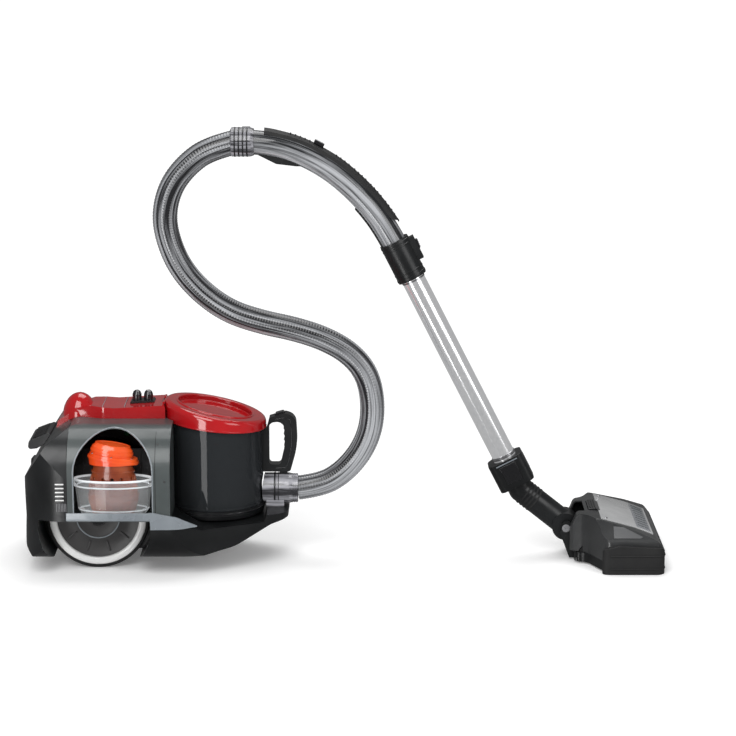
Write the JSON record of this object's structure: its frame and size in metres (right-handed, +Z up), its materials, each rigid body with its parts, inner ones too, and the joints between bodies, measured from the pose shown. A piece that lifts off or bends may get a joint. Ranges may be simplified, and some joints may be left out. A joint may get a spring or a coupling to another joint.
{
  "type": "canister vacuum cleaner",
  "caption": "Bagless canister vacuum cleaner with lift-out dust container, flexible hose, curved handle, telescopic wand and tilting floor nozzle.",
  "frame": {"origin": "on the floor, under the middle of the whole machine's length and width", "axes": "+X forward from the canister to the nozzle, +Y to the machine's left, +Z up"},
  "size_m": [1.111, 0.3204, 0.756],
  "materials": {
    "case_black": "satin",
    "case_grey": "satin",
    "red_gloss": "smooth",
    "silver": "smooth",
    "rubber_black": "satin",
    "wheel_grey": "satin",
    "white_ring": "smooth",
    "steel": "satin",
    "clear": "smooth",
    "copper_orange": "smooth",
    "smoke": "smooth",
    "smoke_light": "smooth",
    "filter": "satin",
    "board": "satin",
    "chrome": "smooth",
    "bristle": "satin",
    "key_black": "smooth",
    "drum_grey": "satin",
    "nozzle_silver": "smooth"
  },
  "bodies": {
    "canister": {"chassis": "case_black", "side_casing_right": "case_grey", "side_casing_left": "case_grey", "rear_casing": "case_black", "exhaust_filter": "filter", "cable_outlet": "rubber_black", "rear_grip": "case_black", "top_cover": "red_gloss", "button_bezel": "case_black", "sill_trims": "silver", "wheel_housings": "case_black", "rear_axle": "steel", "motor_bowl": "clear", "motor_housing": "copper_orange", "motor_cap": "copper_orange", "reel_axle": "steel", "control_board": "board", "hose_port": "case_black", "hose_coupling": "smoke_light", "hose": "smoke_light", "hose_cuff": "case_black", "handle_tube": "smoke_light", "grip_cover": "rubber_black", "trigger_guard": "case_black", "tube_socket": "case_black", "inner_tube": "chrome"},
    "wheel_right": {"tyre_right": "rubber_black", "rim_right": "wheel_grey", "trim_ring_right": "white_ring"},
    "wheel_left": {"tyre_left": "rubber_black", "rim_left": "wheel_grey", "trim_ring_left": "white_ring"},
    "caster": {"caster_fork": "case_black"},
    "caster_roller": {"caster_wheel": "rubber_black"},
    "fan": {"impeller": "drum_grey"},
    "reel": {"cable_drum": "drum_grey"},
    "exhaust_flap": {"exhaust_door": "case_black"},
    "power_key": {"power_button": "key_black"},
    "rewind_key": {"rewind_button": "key_black"},
    "container": {"container_wall": "smoke", "container_base": "case_black", "cyclone_cone": "wheel_grey", "cyclone_screen": "wheel_grey", "container_handle": "case_black"},
    "lid": {"container_lid": "red_gloss", "lid_seal": "rubber_black", "container_filter": "filter"},
    "container_catch": {"container_release": "key_black"},
    "coupling_catch": {"coupling_button": "key_black"},
    "relief": {"relief_slider": "key_black"},
    "tube_catch": {"tube_button": "key_black"},
    "wand": {"outer_tube": "chrome", "nozzle_collar": "case_black"},
    "elbow": {"neck": "case_black"},
    "head": {"nozzle_cover": "nozzle_silver", "sole_plate": "case_black", "nozzle_bumper": "rubber_black"},
    "foot_pedal": {"pedal": "key_black"},
    "brush": {"brush_strips": "bristle"},
    "rollers": {"nozzle_rollers": "rubber_black"}
  },
  "joints": [
    {"name": "right_wheel_roll", "type": "hinge", "parent": "canister", "child": "wheel_right", "pos_m": [-0.428, -0.073, 0.09], "axis": [0, 1, 0], "continuous": true},
    {"name": "left_wheel_roll", "type": "hinge", "parent": "canister", "child": "wheel_left", "pos_m": [-0.428, 0.073, 0.09], "axis": [0, 1, 0], "continuous": true},
    {"name": "caster_swivel", "type": "hinge", "parent": "canister", "child": "caster", "pos_m": [-0.266, 0, 0.05], "axis": [0, 0, 1], "continuous": true},
    {"name": "caster_roll", "type": "hinge", "parent": "caster", "child": "caster_roller", "pos_m": [-0.278, 0, 0.016], "axis": [0, 1, 0], "continuous": true},
    {"name": "fan_spin", "type": "hinge", "parent": "canister", "child": "fan", "pos_m": [-0.396, -0.123, 0.15], "axis": [0, 0, 1], "continuous": true},
    {"name": "reel_turn", "type": "hinge", "parent": "canister", "child": "reel", "pos_m": [-0.392, 0.114, 0.168], "axis": [0, 1, 0], "continuous": true},
    {"name": "exhaust_flap_open", "type": "hinge", "parent": "canister", "child": "exhaust_flap", "pos_m": [-0.5525, 0, 0.112], "axis": [0, 1, 0], "range_deg": [-95, 0]},
    {"name": "power_press", "type": "slide", "parent": "canister", "child": "power_key", "axis": [0, 0, -1], "range_m": [0, 0.004], "stiffness_N_per_m": 300, "springref_m": -0.002},
    {"name": "rewind_press", "type": "slide", "parent": "canister", "child": "rewind_key", "axis": [0, 0, -1], "range_m": [0, 0.004], "stiffness_N_per_m": 300, "springref_m": -0.002},
    {"name": "container_lift", "type": "slide", "parent": "canister", "child": "container", "axis": [0, 0, 1], "range_m": [0, 0.045]},
    {"name": "lid_open", "type": "hinge", "parent": "container", "child": "lid", "pos_m": [-0.319, 0, 0.289], "axis": [0, -1, 0], "range_deg": [0, 28]},
    {"name": "container_catch_press", "type": "slide", "parent": "container", "child": "container_catch", "axis": [0, 0, -1], "range_m": [0, 0.003], "stiffness_N_per_m": 300, "springref_m": -0.002},
    {"name": "coupling_catch_press", "type": "slide", "parent": "canister", "child": "coupling_catch", "axis": [0, 0, -1], "range_m": [0, 0.002], "stiffness_N_per_m": 300, "springref_m": -0.002},
    {"name": "relief_slide", "type": "slide", "parent": "canister", "child": "relief", "axis": [0.8829, 0, -0.4695], "range_m": [0, 0.01]},
    {"name": "tube_catch_press", "type": "slide", "parent": "canister", "child": "tube_catch", "axis": [-0.8909, 0, -0.4542], "range_m": [0, 0.003], "stiffness_N_per_m": 300, "springref_m": -0.002},
    {"name": "wand_telescope", "type": "slide", "parent": "canister", "child": "wand", "axis": [0.4542, 0, -0.8909], "range_m": [0, 0.2]},
    {"name": "neck_swivel", "type": "hinge", "parent": "wand", "child": "elbow", "pos_m": [0.286, 0, 0.162], "axis": [0.4542, 0, -0.8909], "range_deg": [-60, 60]},
    {"name": "head_tilt", "type": "hinge", "parent": "elbow", "child": "head", "pos_m": [0.386, 0, 0.056], "axis": [0, 1, 0], "range_deg": [-35, 20]},
    {"name": "pedal_tread", "type": "hinge", "parent": "head", "child": "foot_pedal", "pos_m": [0.453, 0, 0.076], "axis": [0, -1, 0], "range_deg": [0, 5]},
    {"name": "brush_lower", "type": "slide", "parent": "head", "child": "brush", "axis": [0, 0, -1], "range_m": [0, 0.003]},
    {"name": "floor_roller_spin", "type": "hinge", "parent": "head", "child": "rollers", "pos_m": [0.424, 0, 0.016], "axis": [0, 1, 0], "continuous": true}
  ],
  "couplings": [
    {"joint": "brush_lower", "follows": "pedal_tread", "m_per_rad": 0.034377}
  ]
}
